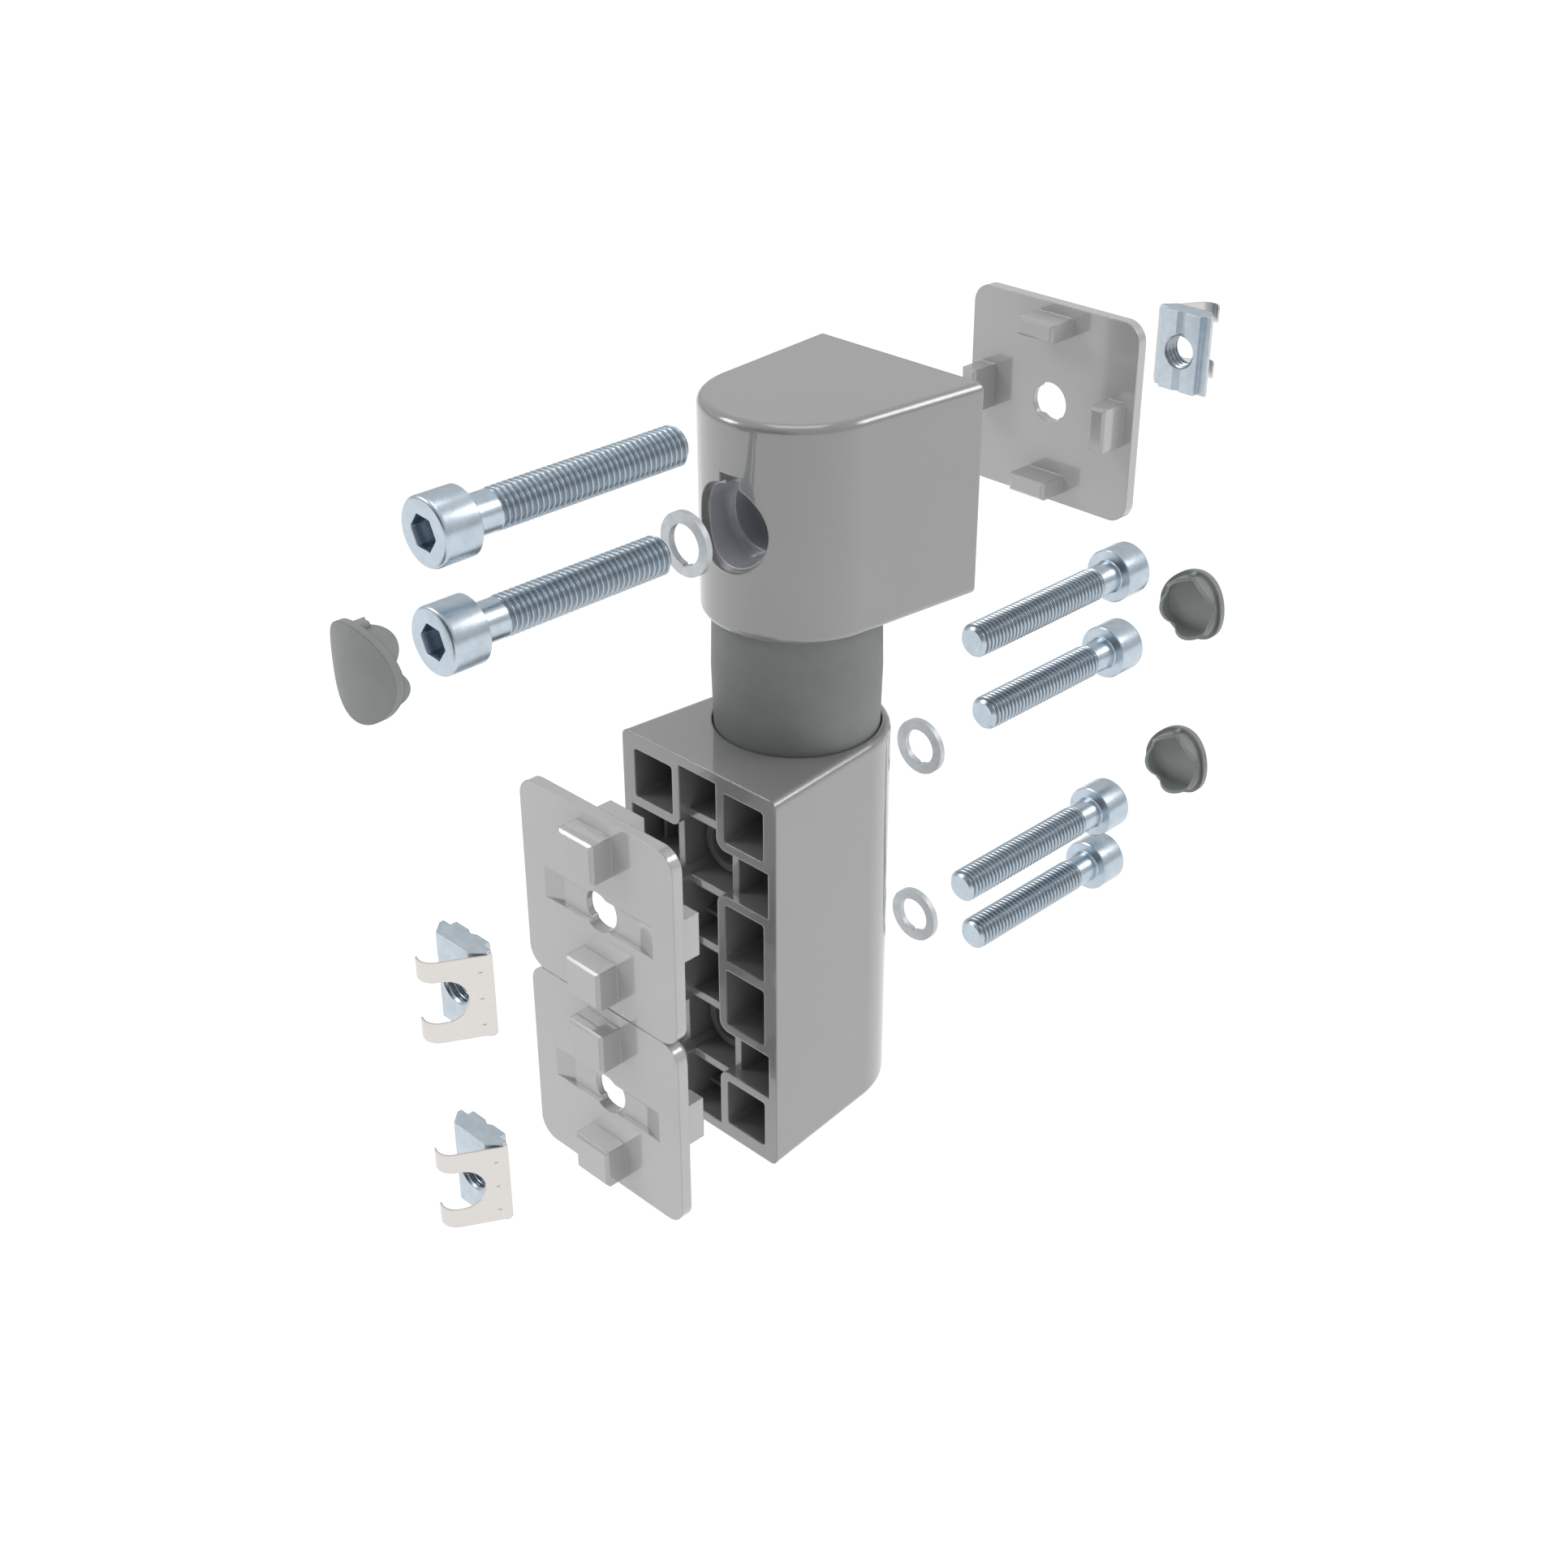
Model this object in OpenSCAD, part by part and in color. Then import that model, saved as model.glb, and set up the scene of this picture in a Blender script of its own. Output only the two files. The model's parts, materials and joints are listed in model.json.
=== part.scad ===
// Friction joint for slotted square-module profiles, with its fastening kit drawn apart.
// The origin is on the hinge axis, in the base of the lower housing. Z is the hinge axis.
// Three screw lines run along Y: two in the lower housing, whose round nose faces +Y, and
// one in the upper housing, whose round nose faces -Y.
// Each kit piece is built where it sits when fitted, and is then drawn out along its line.

/* [Housings] */
// Side of one square module, which is the width of a housing
grid = 45; // [43:0.5:48]
// Distance from the hinge axis to the flat face of a housing
face_offset = 28.65; // [27.5:0.05:31]
// Radius of the round nose about the hinge axis
nose_r = 19.6; // [19.5:0.1:20.6]
// Radius of the rounded top and bottom edges
edge_r = 1.8; // [0.6:0.1:2.2]
// Height of the neck that shows between the two housings
neck_h = 25.75; // [25:0.25:32]

/* [Pockets in the flat face] */
// Depth of the cross-shaped opening behind the flat face
pocket_depth = 10; // [8.5:0.5:12]
// Depth of the corner pockets behind the flat face
corner_depth = 11.5; // [9:0.5:11.5]
// Wall between a corner pocket and the outside
corner_wall = 3.6; // [3:0.1:5]
// Distance from the screw line to the near side of a corner pocket
corner_in = 7.5; // [7.2:0.1:8.5]
// Radius in the corners of a corner pocket
corner_r = 0.8; // [0.3:0.1:1.5]
// Rib between the corner pockets of two modules
module_rib = 2.3; // [1.6:0.1:3.5]
// Half width of the cross-shaped opening, across an arm
arm_half = 5.4; // [5.1:0.1:6]
// Wall between the end of an arm and the outside
arm_wall = 2.3; // [1.5:0.1:2.4]
// Radius on the corners where the arms meet
arm_r = 2.5; // [1:0.1:3]
// Thickness of a thin web across an arm
web_t = 1.9; // [1.2:0.1:2.5]
// Distance from the screw line to a thin web
web_in = 7.1; // [6.6:0.1:8]
// How far a thin web stays below the flat face
web_drop = 2.8; // [1.5:0.1:4]
// Thickness of a stop rib at the bottom of an arm
stop_t = 1; // [0.6:0.1:1.5]
// Radius of the boss round the screw hole
boss_r = 6.25; // [5.8:0.05:6.4]
// Height of the boss above the pocket floor
boss_h = 2; // [1.5:0.5:4]

/* [Screw line] */
// Diameter of the screw thread
thread_d = 8; // [7:0.5:8]
// Diameter of the screw head
head_d = 13; // [12:0.5:13.2]
// Height of the screw head
head_h = 8; // [6:0.5:8]
// Width across flats of the hexagon socket
socket_af = 6; // [4:0.5:6.5]
// Depth of the hexagon socket
socket_depth = 4; // [3:0.5:5]
// Bevel on the tip of a screw
tip_bevel = 0.8; // [0.4:0.1:1.2]
// Radius on the rim of the screw head
rim_r = 0.8; // [0.3:0.1:1.2]
// Length of the short screw under its head
short_len = 45; // [42:1:47]
// Length of the long screw under its head
long_len = 50; // [48:1:55]
// Radial room round the thread in the screw holes
hole_gap = 0.5; // [0.3:0.05:0.6]
// Radial room round the screw head in its counterbore
head_gap = 0.7; // [0.4:0.05:0.8]
// Distance from the hinge axis to the seat of the washer
seat_y = 3; // [2:0.25:3.5]
// Thickness of a washer
washer_t = 1.4; // [1:0.1:1.6]
// Radial room between the thread and the washer bore
washer_gap = 0.15; // [0.1:0.05:0.3]

/* [Cap] */
// Radius of the cap rim
cap_r = 9.2; // [9:0.1:9.4]
// Thickness of the cap wall, which lies flush in the nose
cap_t = 1.5; // [1.2:0.1:1.7]
// Outer radius of the cap skirt
skirt_r = 8.2; // [8:0.1:8.4]
// Thickness of the cap skirt
skirt_t = 1; // [0.7:0.05:1.1]
// Depth of the skirt lugs below the top of the nose
skirt_depth = 6; // [5.5:0.1:6.2]
// Depth of the skirt bore below the top of the nose
skirt_bore_depth = 9.5; // [8:0.5:11]
// Radius on the end of a skirt lug, seen from the side
lug_r = 5; // [4.4:0.1:5.4]
// How far the skirt between its lugs is set back from their ends
skirt_step = 2; // [0.8:0.1:2.4]
// Room between the cap and its recess
cap_gap = 0.1; // [0.05:0.05:0.25]
// Width of the key notch above the cap
key_w = 5; // [3:0.5:6]
// How far the key notch reaches above the cap recess
key_rise = 1.9; // [1:0.1:2.2]
// Radius of the key pin on the cap
pin_r = 0.75; // [0.5:0.05:0.9]
// Distance from the middle of the key pin to the edge of the cap
pin_in = 0.9; // [0.9:0.05:1.2]
// Length of the key pin behind the cap rim
pin_len = 2; // [1.2:0.1:2.2]

/* [Plate] */
// Thickness of a plate
plate_t = 2.5; // [2:0.1:3.5]
// How much smaller than its module a plate is made, in height
plate_gap = 0.2; // [0.1:0.05:0.6]
// Radius on the corners of a plate
plate_r = 4.5; // [2:0.5:6]
// Width of a slot key across the groove of the profile
key_slot_w = 10.1; // [9:0.1:10.5]
// Length of a slot key along the groove
slot_key_len = 8.9; // [6:0.1:9.5]
// Height of a slot key above the plate
slot_key_h = 5.1; // [3:0.1:6]
// Distance from the outer edge of a slot key to the edge of the module
slot_key_edge = 3.2; // [2.5:0.1:5]
// Thickness of an inner lug
inner_lug_t = 4; // [3:0.1:4.5]
// Length of an inner lug along the edge of the plate
inner_lug_len = 9.8; // [8:0.1:10.1]
// Height of an inner lug
inner_lug_h = 6.9; // [4:0.1:7.5]
// Room between an inner lug and the end of its pocket
inner_lug_gap = 0.3; // [0.2:0.05:0.6]
// Bevel on the lugs and slot keys
bevel = 0.6; // [0.3:0.1:1]
// Depth of the shallow trough across the outer face
trough_depth = 1.1; // [0.6:0.1:1.5]
// Length of the trough
trough_len = 32.4; // [28:0.2:36]
// Width of the trough
trough_w = 7.3; // [5:0.1:9]
// Length of the ramp at each end of the trough
trough_ramp = 4.9; // [3:0.1:7]
// Radius of the grip nubs in the screw hole
nub_r = 0.9; // [0.6:0.1:1.2]
// How far a grip nub reaches into the screw hole
nub_in = 0.35; // [0.1:0.05:0.4]

/* [Slot nut] */
// Length of a slot nut along the groove
nut_len = 19; // [16:0.5:22]
// Thickness of a slot nut
nut_t = 5; // [4.5:0.1:6]
// Width of the neck that enters the slot
neck_w = 10; // [9.6:0.1:10.6]
// Height of the neck
neck_t = 1.4; // [1:0.1:1.8]
// Width over the shoulders
shoulder_w = 14.2; // [13:0.1:16]
// Height of the straight side of a shoulder
shoulder_t = 0.95; // [0.7:0.05:1.2]
// Width of the back
back_w = 9.6; // [8.5:0.1:11]
// Width of the groove along the middle of the neck
groove_w = 2.5; // [1.5:0.1:3.5]
// Depth of the groove along the middle of the neck
groove_depth = 0.6; // [0.3:0.05:0.9]
// Radial room of the threaded hole round the thread
nut_gap = 0.05; // [0.02:0.01:0.1]
// Thickness of the lip of the profile that the nut pulls against
lip_t = 4.5; // [3.5:0.1:6]

/* [Nut spring] */
// Thickness of the spring leaf
leaf_t = 0.4; // [0.3:0.05:0.6]
// Height of the spring leaf along the groove
leaf_h = 18; // [15:0.5:19]
// Length of the straight flank of the leaf
flank_len = 10; // [8:0.5:12]
// Angle of the flank to the screw line
flank_angle = 27; // [20:1:32]
// Inner radius of the rolled end
roll_r = 5.8; // [4:0.1:7]
// Angle that the end is rolled through
roll_angle = 73; // [50:1:90]
// Width of the notch between the two arms
notch_w = 8.7; // [8.2:0.1:10]
// Distance from the nut to the bottom of the notch
notch_in = 5.7; // [4:0.1:7]

/* [Neck and friction stack] */
// Radius of the friction sleeve in the housings
sleeve_r = 17.4; // [17:0.05:17.6]
// How much the sleeve swells towards the middle of the neck
sleeve_swell = 0.3; // [0:0.05:0.5]
// Wall of the friction sleeve
sleeve_wall = 2.2; // [1.8:0.1:2.5]
// Depth of the sleeve sockets in both housings
socket_h = 10; // [9.4:0.1:10.6]
// Radial running clearance of the sleeve in the lower housing
run_gap = 0.35; // [0.2:0.05:0.6]
// Radial room of the sleeve in the upper housing
fit_gap = 0.03; // [0.02:0.01:0.05]
// Clearance under the end of the sleeve
end_gap = 0.3; // [0.2:0.05:0.5]
// Thickness of the friction web inside the sleeve
friction_web_t = 6; // [5:0.5:8]
// Thickness of a friction disc
disc_t = 2; // [1.5:0.1:2.5]
// Radius of the friction discs and pressure washers
disc_r = 14.3; // [13.5:0.1:14.4]
// Thickness of a pressure washer
pressure_t = 2; // [1.5:0.1:2.5]
// Radius of the spindle where the bush runs
spindle_r = 6; // [5.5:0.1:6.5]
// Radius of the threaded end of the spindle
stud_r = 5; // [4.5:0.1:5.2]
// Radius of the column that carries the friction stack
column_r = 8.5; // [7.5:0.1:8.8]
// Radius of the foot flange of the spindle
flange_r = 14.6; // [14.2:0.1:14.8]
// Thickness of the foot flange
flange_t = 3; // [2.5:0.1:4]
// How deep the flats are on the spindle
flat_in = 0.8; // [0.5:0.05:1.1]
// Wall of the bush
bush_wall = 1.5; // [1:0.1:2]
// Radial running clearance on the spindle
bush_gap = 0.05; // [0.03:0.01:0.1]
// Radius of the circle of flange screws
bolt_circle_r = 11.7; // [11.6:0.05:11.8]
// Diameter of a flange screw
flange_screw_d = 3; // [2.5:0.1:3]
// Diameter of the head of a flange screw
flange_head_d = 5.4; // [5:0.1:5.6]
// Height of the head of a flange screw
flange_head_h = 2.4; // [2:0.1:2.8]
// Length of a flange screw under its head
flange_screw_len = 8; // [7:0.5:9]
// How much smaller in radius the disc springs are than the friction discs
spring_in = 2; // [1.5:0.1:3]
// Thickness of a disc spring
spring_t = 1.2; // [0.8:0.1:1.4]
// Free cone height of a disc spring
spring_cone = 0.8; // [0.5:0.1:1]
// Height of the adjusting nut
adjust_h = 5; // [4:0.1:5.5]
// Height of the lock nut
lock_h = 4; // [3:0.1:4]
// Width across flats of both spindle nuts
spindle_nut_af = 17; // [16:0.5:18]

/* [Drawn apart] */
// How far the lower plates are drawn off their seats
lower_plate_travel = 24.9; // [15:0.1:40]
// How far the upper plate is drawn off its seat
upper_plate_travel = 50.2; // [40:0.1:60]
// How much further the lower slot nuts are drawn out than the plates
lower_nut_travel = 27.1; // [20:0.1:40]
// How much further the upper slot nut is drawn out than the plate
upper_nut_travel = 42.1; // [30:0.1:50]
// How far the lower washers are drawn out of the nose
lower_washer_travel = 36; // [30:0.1:50]
// How far the upper washer is drawn out of the nose
upper_washer_travel = 26.2; // [22:0.1:40]
// How much further the lower screws are drawn out than the washers
lower_screw_travel = 65.5; // [58:0.1:75]
// How much further the upper screw is drawn out than the washer
upper_screw_travel = 50.8; // [48:0.1:65]
// How much further the lower caps are drawn out than the screws
lower_cap_travel = 24.9; // [15:0.1:35]
// How much further the upper cap is drawn out than the screw
upper_cap_travel = 9.6; // [8:0.1:20]
// Height of a spare screw above the screw that it can replace
spare_rise = 20.3; // [18:0.1:22]
// Distance of the lowest spare screw under the screw that it can replace
spare_drop = 16; // [15.8:0.05:16]

/* [Hidden] */
$fn = 96;

// Small overshoot that lets a cut pass cleanly through a face
over = 1;
half = grid / 2;
lower_h = 2 * grid;
upper_z = lower_h + neck_h;

// Heights of the screw lines
top_line_z = 1.5 * grid;
bottom_line_z = half;
upper_line_z = upper_z + half;

// Hairline by which the flat sides lie inside the nose that they leave
side_in = 0.03;
side_r = nose_r - side_in;
// Angle by which the sides of a housing lean out towards the flat face
lean = acos(side_r / norm([half, face_offset])) - atan2(face_offset, half);
// Reach of a side slab past the hinge axis, so that the two slabs meet in the middle
slab_back = face_offset * sin(lean) + over;

thread_r = thread_d / 2;
head_r = head_d / 2;
hole_r = thread_r + hole_gap;
counterbore_r = head_r + head_gap;
floor_y = pocket_depth - face_offset;
corner_out = half - corner_wall;
arm_out = half - arm_wall;
lug_mid = arm_out - inner_lug_gap - inner_lug_t / 2;
// Room between the end of an inner lug and its stop rib
lug_seat_gap = 0.1;
// Place of the key pin and its notch across the module, a little to one side of the middle
key_x = -1;

// Heights in the neck
lower_socket_z = lower_h - socket_h;
upper_socket_z = upper_z + socket_h;
sleeve_bottom_z = lower_socket_z + end_gap;
mid_z = lower_h + neck_h / 2;
sleeve_bore_r = sleeve_r - sleeve_wall;
web_z = mid_z - friction_web_t / 2;
web_top_z = mid_z + friction_web_t / 2;
lower_disc_z = web_z - disc_t;
column_top_z = lower_disc_z - pressure_t;
upper_pressure_z = web_top_z + disc_t;
spring_z = upper_pressure_z + pressure_t;
spring_h = spring_t + spring_cone;
// Hairline between the bores of the two disc springs
spring_gap = 0.02;
adjust_z = spring_z + 2 * spring_h + spring_gap;
lock_z = adjust_z + adjust_h;
spindle_top_z = lock_z + lock_h + over;
bush_r = spindle_r + bush_gap + bush_wall;

// Places of the pieces along a fitted line, measured from the hinge axis towards the nose
head_seat_y = seat_y + washer_t;
plate_outer_y = -face_offset - plate_t;
nut_face_y = plate_outer_y - lip_t + neck_t;
skirt_end_y = nose_r - skirt_depth;

// How far the pieces that follow a plate or a washer are drawn out in all
lower_nut_out = lower_plate_travel + lower_nut_travel;
upper_nut_out = upper_plate_travel + upper_nut_travel;
lower_screw_out = lower_washer_travel + lower_screw_travel;
upper_screw_out = upper_washer_travel + upper_screw_travel;
lower_cap_out = lower_screw_out + lower_cap_travel;
upper_cap_out = upper_screw_out + upper_cap_travel;

zinc_grey = [0.61, 0.61, 0.61];
satin_grey = [0.73, 0.73, 0.73];
neck_grey = [0.43, 0.45, 0.44];
cap_grey = [0.53, 0.55, 0.54];
zinc_blue = [0.69, 0.76, 0.81];
spring_white = [0.88, 0.87, 0.85];
steel = [0.6, 0.61, 0.63];
bronze = [0.72, 0.55, 0.3];
lining = [0.25, 0.23, 0.21];

// Moves what it holds to a lower screw line, drawn out by a distance towards the nose
module lower_line(z, drawn_out) {
    translate([0, drawn_out, z]) children();
}

// Moves what it holds to the upper screw line, which is turned round
module upper_line(drawn_out) {
    translate([0, 0, upper_line_z]) rotate([0, 0, 180]) translate([0, drawn_out, 0]) children();
}

// Cylinder along a screw line, from one distance from the hinge axis to another
module line_cylinder(r, from_y, to_y) {
    translate([0, to_y, 0]) rotate([90, 0, 0]) cylinder(r = r, h = to_y - from_y);
}

// Upright section of a housing, out to its rounded outer edges
module rim_section(from_u, to_u, h) {
    translate([from_u, 0]) square([to_u - edge_r - from_u, h]);
    translate([from_u, edge_r]) square([to_u - from_u, h - 2 * edge_r]);
    for (z = [edge_r, h - edge_r]) translate([to_u - edge_r, z]) circle(r = edge_r);
}

// One side slab, which leaves the nose and leans out to the full width at the flat face
module side_slab(h) {
    rotate([0, 0, lean]) rotate([90, 0, 0]) linear_extrude(2 * face_offset)
        rim_section(-slab_back, side_r, h);
}

// Closed outer form of a housing, with its round nose towards +Y
module housing_form(h) {
    intersection() {
        union() {
            rotate_extrude() rim_section(0, nose_r, h);
            side_slab(h);
            mirror([1, 0, 0]) side_slab(h);
        }
        translate([-grid, -face_offset, -over]) cube([2 * grid, 3 * face_offset, h + 2 * over]);
    }
}

// Flat-face outline cut to a depth, drawn in X and Z with the hinge axis behind it
module face_cut(depth) {
    translate([0, depth - face_offset, 0]) rotate([90, 0, 0]) linear_extrude(depth + over) children();
}

// Rectangle from one corner to the other with rounded corners
module rounded_rect(low, high, r) {
    size = high - low;
    translate(low + [r, 0]) square([size.x - 2 * r, size.y]);
    translate(low + [0, r]) square([size.x, size.y - 2 * r]);
    for (x = [low.x + r, high.x - r], y = [low.y + r, high.y - r]) translate([x, y]) circle(r = r);
}

// Cross-shaped opening of one module, with rounded corners where the arms meet
module cross_opening(bottom, top) {
    translate([-arm_half, bottom]) square([2 * arm_half, top - bottom]);
    translate([-arm_out, -arm_half]) square([2 * arm_out, 2 * arm_half]);
    corner_mid = arm_half + (arm_r - over) / 2;
    for (sx = [-1, 1], sz = [-1, 1]) difference() {
        translate([sx * corner_mid, sz * corner_mid]) square(arm_r + over, center = true);
        translate([sx * (arm_half + arm_r), sz * (arm_half + arm_r)]) circle(r = arm_r);
    }
}

// The four corner pockets of one module, which reach further where another module follows
module corner_pockets(bottom_out, top_out) {
    for (sx = [-1, 1]) {
        x_low = sx > 0 ? corner_in : -corner_out;
        x_high = sx > 0 ? corner_out : -corner_in;
        rounded_rect([x_low, corner_in], [x_high, top_out], corner_r);
        rounded_rect([x_low, -bottom_out], [x_high, -corner_in], corner_r);
    }
}

// Webs, stop ribs and boss that stand in the cross-shaped opening of one module
module cross_ribs() {
    stop_drop = inner_lug_h + lug_seat_gap;
    for (turn = [0:90:270]) rotate([0, turn, 0]) {
        translate([-half, web_drop - face_offset, web_in]) cube([grid, pocket_depth, web_t]);
        translate([-half, stop_drop - face_offset, lug_mid - stop_t / 2])
            cube([grid, pocket_depth, stop_t]);
    }
    line_cylinder(boss_r, floor_y - boss_h, floor_y + over);
}

// All pockets of one module; low and high say whether a module follows below or above
module module_pockets(low, high) {
    bottom = low ? -half - over : -arm_out;
    top = high ? half + over : arm_out;
    difference() {
        face_cut(pocket_depth) cross_opening(bottom, top);
        cross_ribs();
        if (low) translate([-half, web_drop - face_offset, -half - 2 * over])
            cube([grid, pocket_depth, 2 * over + web_t / 2]);
        if (high) translate([-half, web_drop - face_offset, half - web_t / 2])
            cube([grid, pocket_depth, 2 * over + web_t / 2]);
    }
    shared_out = half - module_rib / 2;
    face_cut(corner_depth) corner_pockets(low ? shared_out : corner_out, high ? shared_out : corner_out);
}

// Ring of the nose that lies between the cap and the outside
module nose_shell(inner_r, reach) {
    translate([0, 0, -reach]) difference() {
        cylinder(r = nose_r + over, h = 2 * reach);
        translate([0, 0, -over]) cylinder(r = inner_r, h = 2 * (reach + over));
    }
}

// Holes of one screw line: screw hole, counterbore, cap skirt bore, cap recess and key notch
module line_holes() {
    recess_r = cap_r + cap_gap;
    reach = 2 * recess_r;
    line_cylinder(hole_r, -face_offset - over, seat_y + over);
    line_cylinder(counterbore_r, seat_y, nose_r + over);
    line_cylinder(skirt_r + 3 * cap_gap, nose_r - skirt_bore_depth, nose_r + over);
    intersection() {
        line_cylinder(recess_r, 0, nose_r + 2 * over);
        nose_shell(nose_r - cap_t - cap_gap, reach);
    }
    intersection() {
        translate([key_x - key_w / 2, 0, 0]) cube([key_w, nose_r + 2 * over, recess_r + key_rise]);
        nose_shell(nose_r - cap_t - pin_len - 2 * cap_gap, reach);
    }
}

// Lower housing: two modules high, open at the top for the friction sleeve
module lower_housing() {
    color(zinc_grey) difference() {
        housing_form(lower_h);
        translate([0, 0, bottom_line_z]) module_pockets(false, true);
        translate([0, 0, top_line_z]) module_pockets(true, false);
        for (z = [bottom_line_z, top_line_z]) translate([0, 0, z]) line_holes();
        translate([0, 0, lower_socket_z]) cylinder(r = sleeve_r + run_gap, h = socket_h + over);
        flange_screw_places(lower_socket_z + flange_t)
            translate([0, 0, -flange_screw_len])
                cylinder(d = flange_screw_d + 2 * bush_gap, h = flange_screw_len);
    }
}

// Upper housing: one module high, turned round, open underneath for the friction sleeve
module upper_housing() {
    color(zinc_grey) translate([0, 0, upper_z]) rotate([0, 0, 180]) difference() {
        housing_form(grid);
        translate([0, 0, half]) module_pockets(false, false);
        translate([0, 0, half]) line_holes();
        translate([0, 0, -over]) cylinder(r = sleeve_r + fit_gap, h = socket_h + over);
    }
}

// Friction sleeve: a tube that swells in the middle of the neck, with the friction web inside
module friction_sleeve() {
    web_bore_r = bush_r + fit_gap;
    color(neck_grey) rotate_extrude() polygon([
        [sleeve_bore_r, sleeve_bottom_z],
        [sleeve_r, sleeve_bottom_z],
        [sleeve_r, lower_h],
        [sleeve_r + sleeve_swell, mid_z],
        [sleeve_r, upper_z],
        [sleeve_r, upper_socket_z],
        [sleeve_bore_r, upper_socket_z],
        [sleeve_bore_r, web_top_z],
        [web_bore_r, web_top_z],
        [web_bore_r, web_z],
        [sleeve_bore_r, web_z]
    ]);
}

// Round bar with two flats, which keys the pressure washers
module flatted_bar(r, h, across) {
    intersection() {
        cylinder(r = r, h = h);
        translate([-r, -across / 2, 0]) cube([2 * r, across, h]);
    }
}

// The places of the four flange screws, at the height of the top of the flange
module flange_screw_places(z) {
    for (turn = [45:90:315]) rotate([0, 0, turn]) translate([bolt_circle_r, 0, z]) children();
}

// Spindle: foot flange, column, keyed seat, bearing length and threaded end
module spindle() {
    color(steel) difference() {
        union() {
            translate([0, 0, lower_socket_z]) cylinder(r = flange_r, h = flange_t);
            translate([0, 0, lower_socket_z]) cylinder(r = column_r, h = column_top_z - lower_socket_z);
            translate([0, 0, column_top_z])
                flatted_bar(spindle_r, pressure_t, 2 * (spindle_r - flat_in));
            translate([0, 0, lower_disc_z]) cylinder(r = spindle_r, h = upper_pressure_z - lower_disc_z);
            translate([0, 0, upper_pressure_z - over])
                flatted_bar(stud_r, pressure_t + over, 2 * (stud_r - flat_in));
            translate([0, 0, spring_z]) cylinder(r = stud_r, h = spindle_top_z - spring_z);
        }
        flange_screw_places(lower_socket_z - over)
            cylinder(r = flange_screw_d / 2 + bush_gap, h = flange_t + 2 * over);
    }
}

// Four small cap screws that hold the spindle foot down
module flange_screws() {
    color(zinc_blue) flange_screw_places(lower_socket_z + flange_t) difference() {
        union() {
            cylinder(d = flange_head_d, h = flange_head_h);
            translate([0, 0, -flange_screw_len]) cylinder(d = flange_screw_d, h = flange_screw_len);
        }
        translate([0, 0, flange_head_h / 2]) cylinder(d = flange_screw_d, h = flange_head_h, $fn = 6);
    }
}

// Bearing bush, pressed into the friction web
module spindle_bush() {
    color(bronze) translate([0, 0, web_z]) difference() {
        cylinder(r = bush_r, h = friction_web_t);
        translate([0, 0, -over]) cylinder(r = spindle_r + bush_gap, h = friction_web_t + 2 * over);
    }
}

// Friction disc that rubs beside the web
module friction_disc(z) {
    color(lining) translate([0, 0, z]) difference() {
        cylinder(r = disc_r, h = disc_t);
        translate([0, 0, -over]) cylinder(r = spindle_r + end_gap, h = disc_t + 2 * over);
    }
}

module lower_friction_disc() friction_disc(lower_disc_z);
module upper_friction_disc() friction_disc(web_top_z);

// Pressure washer, kept from turning by the flats of the spindle
module pressure_washer(z, bar_r) {
    bore_r = bar_r + bush_gap;
    color(steel) translate([0, 0, z]) difference() {
        cylinder(r = disc_r, h = pressure_t);
        translate([0, 0, -over])
            flatted_bar(bore_r, pressure_t + 2 * over, 2 * (bore_r - flat_in));
    }
}

module lower_pressure_washer() pressure_washer(column_top_z, spindle_r);
module upper_pressure_washer() pressure_washer(upper_pressure_z, stud_r);

// Section of one disc spring, whose high side is at its bore
module spring_section() {
    in_r = stud_r + end_gap;
    out_r = disc_r - spring_in;
    polygon([
        [in_r, spring_cone],
        [out_r, 0],
        [out_r, spring_t],
        [in_r, spring_h]
    ]);
}

// Two disc springs, bore to bore, that press the stack together
module disc_springs() {
    color(steel) {
        translate([0, 0, spring_z]) rotate_extrude() spring_section();
        translate([0, 0, adjust_z]) mirror([0, 0, 1]) rotate_extrude() spring_section();
    }
}

// Hexagon nut on the spindle
module spindle_nut(z, h) {
    color(zinc_blue) translate([0, 0, z]) difference() {
        cylinder(d = spindle_nut_af / cos(30), h = h, $fn = 6);
        translate([0, 0, -over]) cylinder(r = stud_r + bush_gap, h = h + 2 * over);
    }
}

module adjusting_nut() spindle_nut(adjust_z, adjust_h);
module lock_nut() spindle_nut(lock_z, lock_h);

// Bevelled outline of a lug, standing on a line at height 0
module bevelled_outline(w, h) {
    polygon([
        [-w / 2, -over],
        [w / 2, -over],
        [w / 2, h - bevel],
        [w / 2 - bevel, h],
        [bevel - w / 2, h],
        [-w / 2, h - bevel]
    ]);
}

// Block of a width, a length and a height with bevels round its top, rooted in the plate
module bevelled_lug(w, len, h) {
    intersection() {
        rotate([90, 0, 0]) translate([0, 0, -len / 2]) linear_extrude(len) bevelled_outline(w, h);
        rotate([90, 0, 90]) translate([0, 0, -w / 2]) linear_extrude(w) bevelled_outline(len, h);
    }
}

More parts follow.
